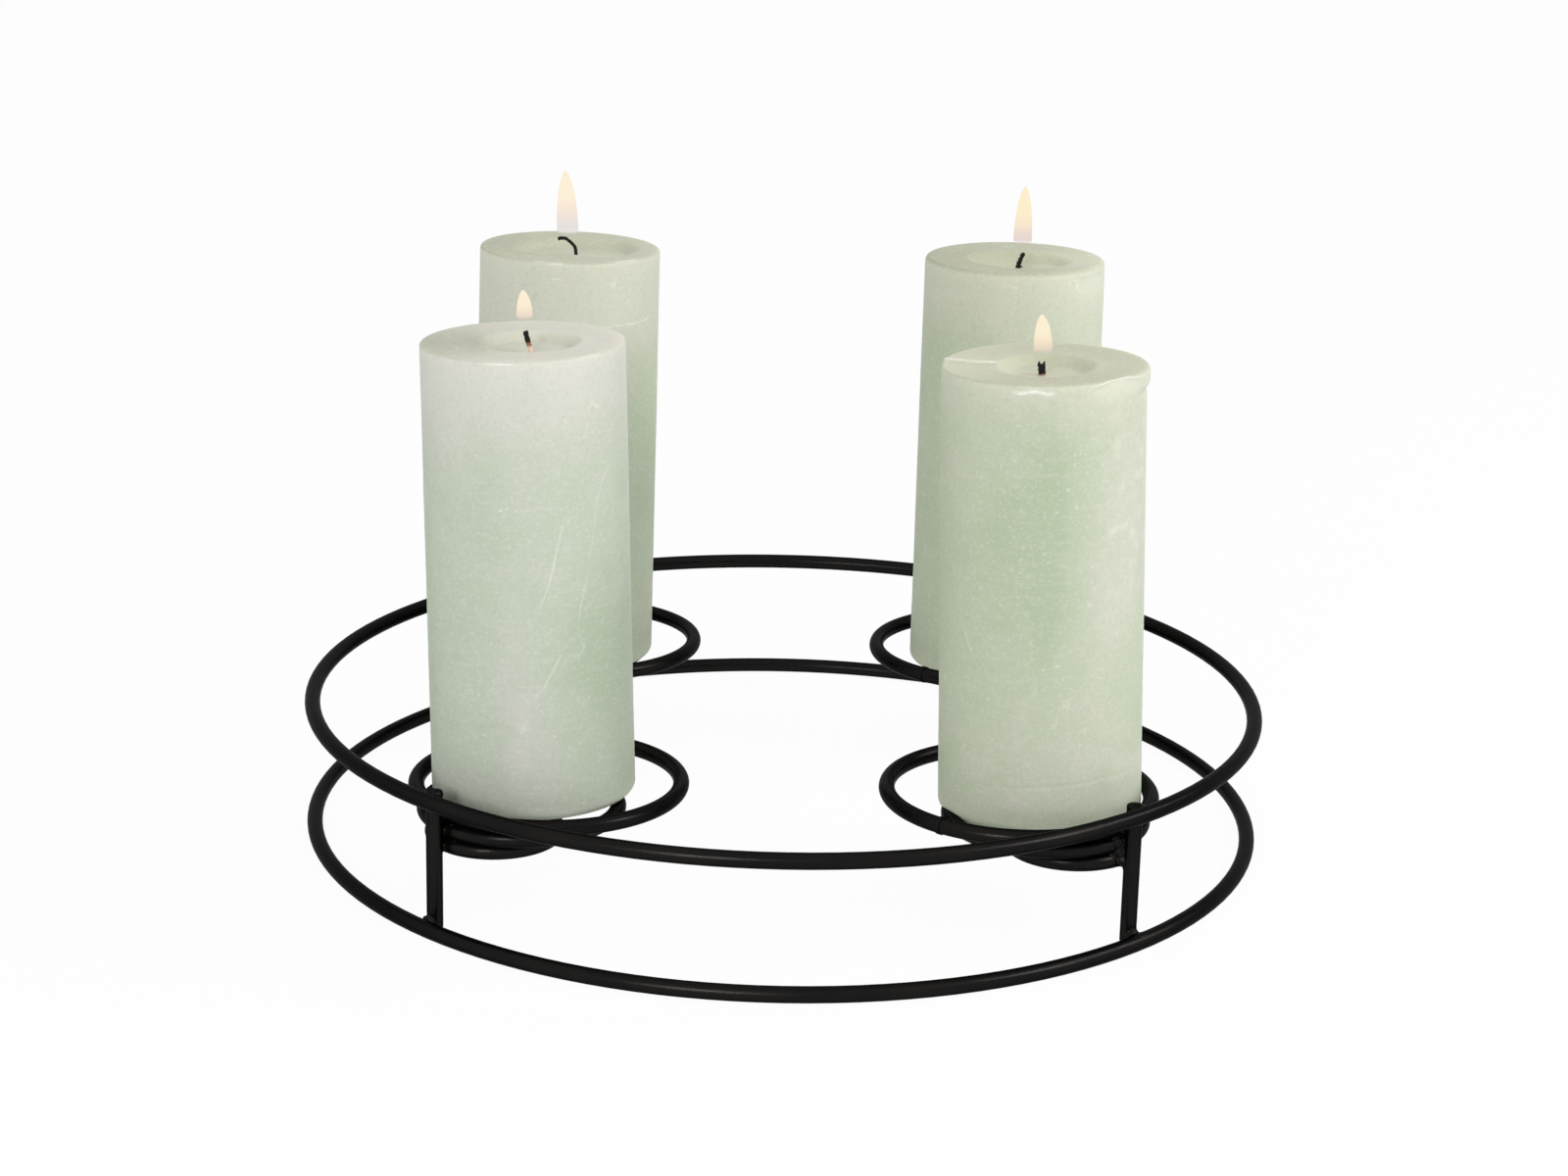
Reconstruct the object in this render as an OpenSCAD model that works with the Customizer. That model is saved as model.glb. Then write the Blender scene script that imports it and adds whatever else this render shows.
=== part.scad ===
// Advent candle holder: a wreath frame of round wire that carries four pillar candles.
// Two large rings are joined by four short posts, which stand just inside them.
// Each post carries three stacked wire rings that all touch it at one side: a guard ring
// round the candle, a seat ring that the candle stands on and a small lower ring.
// The origin is the centre of the large rings at table height. +Z is up and the front is -Y.

/* [Ring frame] */
// Outer diameter of the two large rings
frame_d = 350; // [310:5:450]
// Overall height of the wire frame
frame_h = 51.5; // [44:0.5:80]
// Diameter of the round wire
wire_d = 5.6; // [4:0.2:6.8]
// How far each post stops short of the frame's top and of the table
post_short = 1.2; // [0.6:0.1:2]
// Bevel round the ends of each post
post_bevel = 0.5; // [0.2:0.1:1]
// Diameter of one weld bead
bead_d = 4.2; // [3.4:0.1:5]

/* [Candle rings] */
// Drop from the middle of the top ring's wire to the middle of the guard ring's wire
guard_drop = 7.6; // [6:0.2:14]
// Room between a candle's base and the guard ring round it
guard_room = 7.7; // [3:0.1:14]
// How far the seat ring reaches out past the base of the candle that stands on it
seat_reach = 0.8; // [-3:0.1:2]
// Outer diameter of the lower ring
lower_d = 47.8; // [36:0.2:60]
// Diameter of the raised butt weld that closes each guard ring
seam_d = 6.2; // [6:0.1:6.6]
// Width of the raised butt weld along the wire
seam_w = 1.6; // [1:0.1:3]

/* [Candles] */
// Diameter of a candle at its base
candle_d = 70; // [64:1:78]
// Height of a new candle
candle_h = 160; // [110:5:220]
// Rounding of the candle's bottom edge
base_round = 2.6; // [1.5:0.1:4]
// Rounding of the candle's rim
rim_round = 1.8; // [1:0.1:3]
// Depth of the melted pool below the rim
pool_depth = 3.6; // [2:0.1:8]
// Width of the pool's sloping side
pool_side = 4.2; // [2:0.1:6]

/* [Wicks and flames] */
// Diameter of the wick
wick_d = 2.2; // [1.4:0.1:3.4]
// Straight length of wick above the pool's floor
wick_stem = 1.6; // [0.8:0.1:4]
// Length of the charred, bent wick above its stem
wick_tip = 6; // [3:0.2:9]
// Distance from the candle's base to the lower end of the wick
wick_inset = 1.5; // [0.5:0.1:6]
// Height of the tallest flame
flame_h = 23.4; // [14:0.2:40]
// Width of the widest flame
flame_d = 7.6; // [5:0.1:12]

/* [Hidden] */
$fn = 48;
// Facet counts for a preview of the large and the small rings
large_fn = 160;
small_fn = 96;

// Numbers of the four corners in every table below
front_left = 0;
front_right = 1;
back_right = 2;
back_left = 3;

// Gap left between wires that touch at a weld, and between a bead and its wires
weld_gap = 0.05;
bead_gap = 0.08;
// Clearance between a candle's base and the seat ring, and least gap to the guard ring
seat_gap = 0.3;
guard_gap = 0.3;
// Clearance round the wick in the wax, and between a wick's top and its flame
wick_gap = 0.05;
flame_gap = 0.3;
// Overrun of cutting shapes
over = 1;

// Where each corner's post stands, as seen from above
corner_angles = [226, 315.1, 45, 135];
// Direction of the butt weld on each guard ring
seam_angles = [100, 232, 232, 100];
// How far each candle has been pushed from its guard ring's centre, as a share of the free play
stand_shares = [0.9, 1, 0.39, 0.84];
// Direction in which each candle has been pushed
stand_angles = [146, 9, -26, 185];
// Sideways lean of each candle, positive towards +X
leans = [-1.38, -1.93, -0.05, 0.95];
// Share of each candle that has burnt away
burnt_shares = [0.0216, 0.0428, 0.0059, 0.0059];
// Diameter of a candle's rim as a share of its base
taper_share = 0.975;
// Radius of each pool as a share of the rim's radius
pool_shares = [0.44, 0.48, 0.515, 0.555];
// Sideways place of each wick as a share of the rim's radius
wick_place_shares = [0.066, -0.022, 0.052, 0.055];
// Bend of each wick's tip, and the direction in which it bends
wick_bends = [44, 6, 34, 100];
wick_turns = [180, 180, 0, 180];
// Length of each bent tip as a share of wick_tip
wick_tip_shares = [1, 0.7, 1, 1.6];
// Thickness of the charred tip as a share of the wick's
char_share = 1.12;
// Where a flame stands over its wick, from the stem to the tip
flame_place_share = 0.6;
// Height and width of each flame as shares of the largest
flame_h_shares = [0.524, 0.597, 0.926, 1];
flame_d_shares = [0.75, 0.82, 0.84, 1];
// Power that puts the widest part of a flame at about a quarter of its height
flame_power = 0.55;
// Places of the beads, as shares of the wire's radius: sideways from the post's middle,
// and from the line where the post touches a ring into the post
bead_side_share = 0.9;
bead_in_share = 0.3;

wire_r = wire_d / 2;
ring_r = (frame_d - wire_d) / 2;
bottom_z = wire_r;
top_z = frame_h - wire_r;
stack_step = wire_d + weld_gap;
guard_z = top_z - guard_drop;
seat_z = guard_z - stack_step;
lower_z = seat_z - stack_step;
base_r = candle_d / 2;
guard_r = base_r + guard_room + wire_r;
seat_r = base_r + seat_reach - wire_r;
lower_r = (lower_d - wire_d) / 2;

// The posts touch the large rings from inside, and the stacked rings touch the posts
post_x = ring_r - wire_d - weld_gap;
stack_x = post_x - wire_d - weld_gap;

// Distance of a bead's centre from the middle of the wire that it reaches, and the bead's
// place above or below one ring, and between two stacked rings
bead_reach = wire_r + bead_d / 2 + bead_gap;
bead_off = wire_r * (1 + bead_in_share);
bead_rise = sqrt(bead_reach ^ 2 - bead_off ^ 2);
bead_off_between = sqrt(bead_reach ^ 2 - (stack_step / 2) ^ 2);

rim_r = base_r * taper_share;
candle_z = seat_z + wire_r + seat_gap;
free_play = guard_room - guard_gap;
wick_r = wick_d / 2;
char_r = wick_r * char_share;

// Height of a candle's rim above its base
function rim_h(i) = candle_h * (1 - burnt_shares[i]);
// Extra wax below a leaning candle, which the flat base cuts away
function lean_drop(i) = base_r * abs(sin(leans[i]));
// Place of a candle's centre on the seat, measured from the frame's centre
function candle_place(i) = let (
    guard_x = stack_x - guard_r,
    push = free_play * stand_shares[i]
) [
    guard_x * cos(corner_angles[i]) + push * cos(stand_angles[i]),
    guard_x * sin(corner_angles[i]) + push * sin(stand_angles[i])
];
// Height of a pool's floor, and place of its centre beside the candle's axis
function pool_z(i) = rim_h(i) - pool_depth;
function wick_x(i) = rim_r * wick_place_shares[i];
// Radius of a wick's bend, and the height of its highest point and the reach of its tip
function bend_r(i) = wick_tip * wick_tip_shares[i] / (wick_bends[i] * PI / 180);
function tip_top(i) = (bend_r(i) + char_r) * sin(min(wick_bends[i], 90));
function tip_reach(i) = bend_r(i) * (1 - cos(wick_bends[i]));

// Points of an arc, with its centre, radius and end angles
function arc(cx, cy, r, from, to, steps = 6) = [
    for (k = [0:steps]) let (a = from + (to - from) * k / steps) [cx + r * cos(a), cy + r * sin(a)]
];

// Outline of a candle without its pool, from the axis at the base to the axis at the rim
function candle_outline(h) = concat(
    [[0, 0]],
    arc(base_r - base_round, base_round, base_round, -90, 0),
    arc(rim_r - rim_round, h - rim_round, rim_round, 0, 90),
    [[0, h]]
);

// Outline of a pool: a flat floor and a side that rises in an S to the rim
function pool_outline(r, steps = 8) = concat(
    [[0, -pool_depth]],
    [for (k = [0:steps]) [
        r - pool_side * (1 - k / steps),
        -pool_depth * (1 + cos(180 * k / steps)) / 2
    ]],
    [[r, over], [0, over]]
);

// Outline of a flame: round at the bottom and pointed at the tip
function flame_outline(r, h, steps = 16) = concat(
    [[0, 0]],
    [for (k = [1:steps - 1]) [r * sin(180 * pow(k / steps, flame_power)), h * k / steps]],
    [[0, h]]
);

module painted_wire() color([0.10, 0.095, 0.09]) children();
module wax() color([0.78, 0.84, 0.74]) children();
module charred_wick() color([0.09, 0.07, 0.06]) children();
module flame_glow() color([1, 0.86, 0.62]) children();

// A closed ring of round wire, by the radius of its centreline
module wire_ring(r, grow = 0, facets = small_fn)
    rotate_extrude($fn = facets) translate([r, 0]) circle(r = wire_r + grow);

// Turns a corner so that its post lies along +X
module corner(i) rotate([0, 0, corner_angles[i]]) children();

// Puts something on a seat in the frame of the candle, with the candle's lean
module candle_frame(i)
    translate([candle_place(i).x, candle_place(i).y, candle_z])
        rotate([0, leans[i], 0]) children();

// A straight rod of wire with bevelled ends
module rod(length) {
    rotate_extrude() polygon([
        [0, 0],
        [wire_r - post_bevel, 0],
        [wire_r, post_bevel],
        [wire_r, length - post_bevel],
        [wire_r - post_bevel, length],
        [0, length]
    ]);
}

module large_ring(z) painted_wire() translate([0, 0, z]) wire_ring(ring_r, facets = large_fn);

// A pair of weld beads, one on each side of a post
module bead_pair(x, z)
    for (side = [-1, 1])
        translate([x, side * wire_r * bead_side_share, z]) sphere(d = bead_d);

// A post with the weld beads that join it to both large rings and to the stacked rings.
// Each bead runs into the post and stops just short of the ring wires next to it.
module post(i) painted_wire() corner(i) {
    translate([post_x, 0, post_short]) rod(frame_h - 2 * post_short);
    bead_pair(ring_r - bead_off, bottom_z + bead_rise);
    bead_pair(ring_r - bead_off, top_z - bead_rise);
    bead_pair(stack_x + bead_off_between, (guard_z + seat_z) / 2);
    bead_pair(stack_x + bead_off_between, (seat_z + lower_z) / 2);
}

// The guard ring with the raised butt weld where its wire ends meet
module guard_ring(i) painted_wire() corner(i) translate([stack_x - guard_r, 0, guard_z]) {
    wire_ring(guard_r);
    rotate([0, 0, seam_angles[i] - corner_angles[i]]) translate([guard_r, 0, 0])
        rotate([90, 0, 0]) cylinder(d = seam_d, h = seam_w, center = true);
}

module seat_ring(i) painted_wire() corner(i)
    translate([stack_x - seat_r, 0, seat_z]) wire_ring(seat_r);

module lower_ring(i) painted_wire() corner(i)
    translate([stack_x - lower_r, 0, lower_z]) wire_ring(lower_r);

// A candle leans a little on its flat base, with a melted pool and the hole of its wick
module candle(i) wax() {
    drop = lean_drop(i);
    span = candle_d * 2;
    difference() {
        candle_frame(i) difference() {
            translate([0, 0, -drop]) rotate_extrude() polygon(candle_outline(rim_h(i) + drop));
            translate([wick_x(i), 0, rim_h(i)])
                rotate_extrude() polygon(pool_outline(rim_r * pool_shares[i]));
            translate([wick_x(i), 0, -drop - over])
                cylinder(r = wick_r + wick_gap, h = rim_h(i) + drop);
        }
        translate([candle_place(i).x - span / 2, candle_place(i).y - span / 2, candle_z - span])
            cube(span);
    }
}

// The wick runs up through the wax and ends in a bent, charred tip with a blunt end
module wick(i) charred_wick() candle_frame(i)
    translate([wick_x(i), 0, 0]) {
        stem_z = pool_z(i) + wick_stem;
        translate([0, 0, wick_inset]) cylinder(r = wick_r, h = stem_z - wick_inset);
        translate([0, 0, stem_z]) rotate([0, 0, wick_turns[i]])
            translate([bend_r(i), 0, 0]) rotate([90, 0, 180])
                rotate_extrude(angle = wick_bends[i]) translate([bend_r(i), 0]) circle(r = char_r);
    }

// A flame stands upright just above its wick
module flame(i) flame_glow() candle_frame(i)
    translate([
        wick_x(i) + cos(wick_turns[i]) * tip_reach(i) * flame_place_share,
        0,
        pool_z(i) + wick_stem + tip_top(i) + flame_gap
    ])
        rotate([0, -leans[i], 0])
            rotate_extrude() polygon(flame_outline(
                flame_d / 2 * flame_d_shares[i],
                flame_h * flame_h_shares[i]
            ));

large_ring(bottom_z);  // bottom_ring
large_ring(top_z);  // top_ring
post(front_left);  // post_front_left
post(front_right);  // post_front_right
post(back_right);  // post_back_right
post(back_left);  // post_back_left
guard_ring(front_left);  // guard_ring_front_left
guard_ring(front_right);  // guard_ring_front_right
guard_ring(back_right);  // guard_ring_back_right
guard_ring(back_left);  // guard_ring_back_left
seat_ring(front_left);  // seat_ring_front_left
seat_ring(front_right);  // seat_ring_front_right
seat_ring(back_right);  // seat_ring_back_right
seat_ring(back_left);  // seat_ring_back_left
lower_ring(front_left);  // lower_ring_front_left
lower_ring(front_right);  // lower_ring_front_right
lower_ring(back_right);  // lower_ring_back_right
lower_ring(back_left);  // lower_ring_back_left
candle(front_left);  // candle_front_left
candle(front_right);  // candle_front_right
candle(back_right);  // candle_back_right
candle(back_left);  // candle_back_left
wick(front_left);  // wick_front_left
wick(front_right);  // wick_front_right
wick(back_right);  // wick_back_right
wick(back_left);  // wick_back_left
flame(front_left);  // flame_front_left
flame(front_right);  // flame_front_right
flame(back_right);  // flame_back_right
flame(back_left);  // flame_back_left
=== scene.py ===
"""Looks of the advent candle holder: black wire frame, four sage green pillar candles, all lit."""

import math
from types import SimpleNamespace

import bpy
import numpy as np
from mathutils import Matrix, Vector


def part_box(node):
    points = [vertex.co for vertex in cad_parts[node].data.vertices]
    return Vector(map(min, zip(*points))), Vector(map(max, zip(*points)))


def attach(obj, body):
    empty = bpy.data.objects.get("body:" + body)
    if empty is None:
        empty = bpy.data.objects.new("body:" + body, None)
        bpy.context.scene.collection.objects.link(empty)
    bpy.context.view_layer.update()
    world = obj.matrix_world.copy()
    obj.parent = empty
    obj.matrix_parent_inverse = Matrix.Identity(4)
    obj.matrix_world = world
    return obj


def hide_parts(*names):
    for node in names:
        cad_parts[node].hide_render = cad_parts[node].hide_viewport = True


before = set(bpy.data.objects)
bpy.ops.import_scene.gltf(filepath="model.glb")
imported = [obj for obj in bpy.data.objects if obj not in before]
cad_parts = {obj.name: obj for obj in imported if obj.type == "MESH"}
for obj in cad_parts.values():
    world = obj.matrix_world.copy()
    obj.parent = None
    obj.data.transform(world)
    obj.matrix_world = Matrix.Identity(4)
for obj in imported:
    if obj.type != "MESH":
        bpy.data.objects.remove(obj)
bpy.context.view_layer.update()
MM = 0.001

# ---- camera
CAMERA_PLACE = Vector((0.0, -1.10565, 0.41514))
CAMERA_PITCH = math.radians(16.48619)
CAMERA_ROLL = math.radians(-1.32348)
CAMERA_YAW = -0.000754369
CAMERA_LENS = 72.389

camera_data = bpy.data.cameras.new("camera")
camera_data.lens = CAMERA_LENS
camera_data.sensor_width = 36
camera_data.clip_start = 0.01
camera_data.clip_end = 100
camera = bpy.data.objects.new("camera", camera_data)
bpy.context.scene.collection.objects.link(camera)
turn_x, turn_y = math.sin(CAMERA_YAW), math.cos(CAMERA_YAW)
flat, steep = math.cos(CAMERA_PITCH), math.sin(CAMERA_PITCH)
ahead = Vector((turn_x * flat, turn_y * flat, -steep))
level_right = Vector((turn_y, -turn_x, 0))
level_up = Vector((turn_x * steep, turn_y * steep, flat))
side = level_right * math.cos(CAMERA_ROLL) - level_up * math.sin(CAMERA_ROLL)
up = level_right * math.sin(CAMERA_ROLL) + level_up * math.cos(CAMERA_ROLL)
camera_turn = Matrix((side, up, -ahead)).transposed().to_4x4()
camera.matrix_world = Matrix.Translation(CAMERA_PLACE) @ camera_turn
bpy.context.scene.camera = camera


# ---- node helpers
class Tree:
    """Short ways to add and join the nodes of one material, or of the world."""

    def __init__(self, name, owners=bpy.data.materials, out="ShaderNodeOutputMaterial"):
        self.owner = owners.new(name)
        self.owner.use_nodes = True
        self.nodes = self.owner.node_tree.nodes
        self.links = self.owner.node_tree.links
        self.nodes.clear()
        self.out = self.nodes.new(out)

    def put(self, socket, value):
        if isinstance(value, bpy.types.NodeSocket):
            self.links.new(value, socket)
        elif isinstance(value, tuple) and len(value) == 3 and socket.type == "RGBA":
            socket.default_value = (*value, 1)
        else:
            socket.default_value = value

    def add(self, kind, **inputs):
        node = self.nodes.new(kind)
        for name, value in inputs.items():
            self.put(node.inputs[name.replace("_", " ")], value)
        return node

    def math(self, operation, a, b=0.0, clamp=False):
        node = self.nodes.new("ShaderNodeMath")
        node.operation = operation
        node.use_clamp = clamp
        self.put(node.inputs[0], a)
        self.put(node.inputs[1], b)
        return node.outputs[0]

    def plus(self, a, b):
        return self.math("ADD", a, b)

    def times(self, a, b):
        return self.math("MULTIPLY", a, b)

    def larger(self, a, b, clamp=False):
        return self.math("MAXIMUM", a, b, clamp)

    def swing(self, noise, size):
        """How far a noise is from its middle, times size."""
        return self.times(self.math("SUBTRACT", noise, 0.5), size)

    def mix(self, factor, a, b):
        node = self.nodes.new("ShaderNodeMix")
        node.data_type = "RGBA"
        self.put(node.inputs[0], factor)
        self.put(node.inputs[6], a)
        self.put(node.inputs[7], b)
        return node.outputs[2]

    def spread(self, value, low, high, to_low=0.0, to_high=1.0):
        """value from low..high to to_low..to_high, held at the ends, with soft shoulders."""
        node = self.nodes.new("ShaderNodeMapRange")
        node.interpolation_type = "SMOOTHSTEP"
        for key, number in (("Value", value), ("From Min", low), ("From Max", high),
                            ("To Min", to_low), ("To Max", to_high)):
            self.put(node.inputs[key], number)
        return node.outputs[0]

    def place(self, scale=(1, 1, 1), shift=(0, 0, 0)):
        where = self.nodes.new("ShaderNodeTexCoord").outputs["Object"]
        return self.add("ShaderNodeMapping", Vector=where, Scale=scale, Location=shift).outputs[0]

    def noise(self, vector, scale, detail=3.0, rough=0.5):
        return self.add("ShaderNodeTexNoise", Vector=vector, Scale=scale, Detail=detail,
                        Roughness=rough).outputs[0]

    def attribute(self, name):
        node = self.nodes.new("ShaderNodeAttribute")
        node.attribute_name = name
        return node.outputs["Fac"]

    def seen_ray(self):
        """1 where it is seen directly or in a gloss, 0 where it only gives light."""
        path = self.nodes.new("ShaderNodeLightPath").outputs
        reflected = self.larger(path["Is Glossy Ray"], path["Is Transmission Ray"])
        return self.larger(path["Is Camera Ray"], reflected)

    def surface(self, **inputs):
        shader = self.add("ShaderNodeBsdfPrincipled", **inputs)
        self.links.new(shader.outputs[0], self.out.inputs["Surface"])

    def blend_surface(self, factor, first, second):
        both = self.nodes.new("ShaderNodeMixShader")
        for socket, value in zip(both.inputs, (factor, first.outputs[0], second.outputs[0])):
            self.put(socket, value)
        self.links.new(both.outputs[0], self.out.inputs["Surface"])


def linear(red, green, blue):
    """A colour as it looks on screen, 0 to 255, as the linear value that a shader takes."""
    return tuple(c / 12.92 if c <= 0.04045 else ((c + 0.055) / 1.055) ** 2.4
                 for c in (red / 255, green / 255, blue / 255))


# ---- mesh helpers
def mesh_object(name, points, *face_sets, smooth=True):
    """An object from points and from arrays of faces, each array with one number of corners."""
    sets = [np.asarray(f, np.int32) for f in face_sets if len(f)]
    corners = np.concatenate([f.ravel() for f in sets])
    sizes = np.concatenate([np.full(len(f), f.shape[1]) for f in sets])
    made = bpy.data.meshes.new(name)
    made.vertices.add(len(points))
    made.vertices.foreach_set("co", np.asarray(points, np.float32).ravel())
    made.loops.add(len(corners))
    made.loops.foreach_set("vertex_index", corners)
    made.polygons.add(len(sizes))
    starts = np.concatenate([[0], np.cumsum(sizes)[:-1]])
    made.polygons.foreach_set("loop_start", starts.astype(np.int32))
    made.update(calc_edges=True)
    made.polygons.foreach_set("use_smooth", [smooth] * len(sizes))
    obj = bpy.data.objects.new(name, made)
    bpy.context.scene.collection.objects.link(obj)
    return obj


def put_attribute(obj, name, values):
    layer = obj.data.attributes.new(name, "FLOAT", "POINT")
    layer.data.foreach_set("value", np.asarray(values, np.float32).ravel())


def closed_rings(rings):
    """A closed surface through rings of points, (rows, columns, 3), with a fan at each end.
    Returns points, quads and triangles."""
    rows, columns = rings.shape[:2]
    points = np.vstack([rings[0].mean(0)[None], rings.reshape(-1, 3), rings[-1].mean(0)[None]])
    here = np.arange(columns)
    after = (here + 1) % columns
    start = 1 + (rows - 1) * columns
    triangles = np.vstack([
        np.stack([np.zeros(columns, int), 1 + after, 1 + here], -1),
        np.stack([np.full(columns, len(points) - 1), start + here, start + after], -1)])
    low = 1 + np.arange(rows - 1)[:, None] * columns
    quads = np.stack([low + here, low + after, low + columns + after, low + columns + here], -1)
    return points, quads.reshape(-1, 4), triangles


def net(field, low, high, step):
    """The closed surface where field, a function of points in mm, is zero inside a box. Each grid
    cell that the surface crosses gets one point, and each crossed grid edge one quad."""
    axes = [np.arange(a, b + step, step) for a, b in zip(low, high)]
    values = field(*np.meshgrid(*axes, indexing="ij"))
    cells = [n - 1 for n in values.shape]
    total = np.zeros((*cells, 3))
    count = np.zeros(cells)
    for axis in range(3):
        others = [k for k in range(3) if k != axis]
        for first in (0, 1):
            for second in (0, 1):
                near = [slice(0, -1)] * 3
                for k, one in zip(others, (first, second)):
                    near[k] = slice(one, cells[k] + one)
                far = list(near)
                far[axis] = slice(1, None)
                a, b = values[tuple(near)], values[tuple(far)]
                crossed = (a < 0) != (b < 0)
                share = np.where(crossed, a / np.where(crossed, a - b, 1), 0)
                total[..., axis] += share
                total[..., others[0]] += crossed * first
                total[..., others[1]] += crossed * second
                count += crossed
    used = count > 0
    index = np.full(cells, -1)
    index[used] = np.arange(used.sum())
    corner = np.stack(np.nonzero(used), -1)
    points = np.array(low) + step * (corner + total[used] / count[used][:, None])
    quads = []
    for axis in range(3):
        first, second = [(axis + 1) % 3, (axis + 2) % 3]
        near = [slice(1, -1)] * 3
        near[axis] = slice(0, -1)
        far = list(near)
        far[axis] = slice(1, None)
        a, b = values[tuple(near)], values[tuple(far)]
        for flip, crossed in ((False, (a < 0) & (b >= 0)), (True, (a >= 0) & (b < 0))):
            at = np.stack(np.nonzero(crossed), -1)
            at[:, first] += 1
            at[:, second] += 1
            around = []
            for u, v in ((1, 1), (0, 1), (0, 0), (1, 0)):
                cell = at.copy()
                cell[:, first] -= u
                cell[:, second] -= v
                around.append(index[tuple(cell.T)])
            quads.append(np.stack(around[::-1] if flip else around, -1))
    quads = np.vstack(quads)
    a, b, c, d = (points[quads[:, k]] for k in range(4))
    volume = (a * (np.cross(b, c) + np.cross(c, d))).sum()
    return points, quads if volume > 0 else quads[:, ::-1]


def soft_step(x, low, high):
    t = np.clip((x - low) / (high - low), 0, 1)
    return t * t * (3 - 2 * t)


def bell(x, middle, width):
    return np.exp(-((x - middle) / width) ** 2)


def smooth_min(a, b, k):
    """The smaller of two distances, with a fillet of about k where they cross."""
    h = np.maximum(k - np.abs(a - b), 0) / k
    return np.minimum(a, b) - h * h * k / 4


def cubic(x):
    x = np.abs(x)
    return np.where(x < 1, (4 - 6 * x ** 2 + 3 * x ** 3) / 6, np.where(x < 2, (2 - x) ** 3 / 6, 0))


def round_noise(angle, height, cell_round, cell_high, seed):
    """Smooth random values, about -1 to 1, over directions in radians and heights in mm on a
    candle's side, with cells of cell_round by cell_high mm."""
    columns = max(3, int(round(GIRTH / cell_round)))
    rows = int(np.ceil((height.max() - height.min()) / cell_high)) + 4
    grid = np.random.default_rng(seed).uniform(-1, 1, (rows, columns))
    u = (angle / (2 * math.pi)) % 1 * columns
    v = (height - height.min()) / cell_high + 1
    iu, iv = np.floor(u).astype(int), np.floor(v).astype(int)
    fu, fv = u - iu, v - iv
    total = 0
    for du in range(-1, 3):
        weight = cubic(fu - du)
        for dv in range(-1, 3):
            near = grid[np.clip(iv + dv, 0, rows - 1), (iu + du) % columns]
            total = total + weight * cubic(fv - dv) * near
    return total * 1.4


def space_noise(x, y, z, cell, seed):
    """Smooth random values, about -1 to 1, in space."""
    low = [float(a.min()) for a in (x, y, z)]
    grid = np.random.default_rng(seed).uniform(-1, 1, [
        int(np.ceil((float(a.max()) - l) / cell)) + 2 for a, l in zip((x, y, z), low)])
    parts = []
    for a, l in zip((x, y, z), low):
        t = (a - l) / cell
        i = np.floor(t).astype(int)
        f = t - i
        parts.append((i, f * f * (3 - 2 * f)))
    total = 0
    for corner in range(8):
        weight, where = 1, []
        for axis, (i, f) in enumerate(parts):
            one = corner >> axis & 1
            weight = weight * (f if one else 1 - f)
            where.append(i + one)
        total = total + weight * grid[tuple(where)]
    return total


def round_curve(degrees, knots):
    """A value for each direction, eased between knots of (degrees, value) all the way round."""
    knots = sorted(((a + 180) % 360 - 180, v) for a, v in knots)
    knots = [(knots[-1][0] - 360, knots[-1][1])] + knots + [(knots[0][0] + 360, knots[0][1])]
    degrees = (degrees + 180) % 360 - 180
    total = np.zeros(np.shape(degrees))
    for (a, va), (b, vb) in zip(knots, knots[1:]):
        between = (degrees >= a) & (degrees < b)
        total = np.where(between, va + (vb - va) * soft_step(degrees, a, b), total)
    return total


# ---- sizes in mm, as in the CAD source
BASE_R = 35.0
GIRTH = 2 * math.pi * BASE_R
RIM_R = BASE_R * 0.975
BASE_ROUND = 3.0
POOL_DEPTH = 3.6
CANDLE_Z = 38.55
WIRE_R = 2.8
WIRE_GAP = 0.12
POST_BEVEL = 0.5
POST_GAP = 0.05
POST_LOW, POST_HIGH = 1.2, 50.3
POST_ANGLES = {"front_left": 226, "front_right": 315.1, "back_right": 45, "back_left": 135}

# Each candle: where it stands, its lean in degrees and its height; how far its base has settled
# onto the seat ring (sink); how round its rim is; where the wick comes out of the wax; and how much
# deeper the pool is there (dip). The painted shade and the pool go by direction, in degrees to the
# right of the line that faces the camera: how much painted shade darkens the top there, where it
# gets less light, and how far the pool's edge is from the wick.
CANDLES = {
    "front_left": dict(
        x=-85.68, y=-79.29, lean=-1.38, height=156.54, seed=11,
        sink=1.2, rim=1.0, wick=2.6, dip=1.0,
        painted_shade=[(-90, 0.88), (0, 0.10), (90, 0.0), (180, 0.12)],
        pool=[(-88, 14.9), (-14, 15.4), (60, 17.5), (120, 19), (-159, 18.8)]),
    "front_right": dict(
        x=89.05, y=-80.30, lean=-1.93, height=153.15, seed=23,
        sink=2.2, rim=0.9, wick=-0.66, dip=0.4,
        painted_shade=[(-90, 0.35), (0, 0.75), (90, 0.50), (180, 0.60)],
        pool=[(-91, 15.1), (2, 18.5), (90, 17.7), (179, 17.7)]),
    "back_right": dict(
        x=84.19, y=80.33, lean=-0.05, height=159.06, seed=37,
        sink=1.2, rim=2.2, wick=1.0, dip=3.0,
        painted_shade=[(-90, 1.0), (0, 0.95), (90, 0.20), (180, 0.70)],
        pool=[(-47, 18.9), (3, 21), (73, 21.7), (159, 15)]),
    "back_left": dict(
        x=-87.79, y=81.06, lean=0.95, height=159.06, seed=53,
        sink=1.2, rim=1.4, wick=2.1, dip=0.2,
        painted_shade=[(-90, 0.90), (0, 0.60), (90, 0.50), (180, 0.62)],
        pool=[(-73, 23.0), (-3, 14.5), (50, 24), (110, 26), (180, 20), (-120, 22)]),
}

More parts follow.
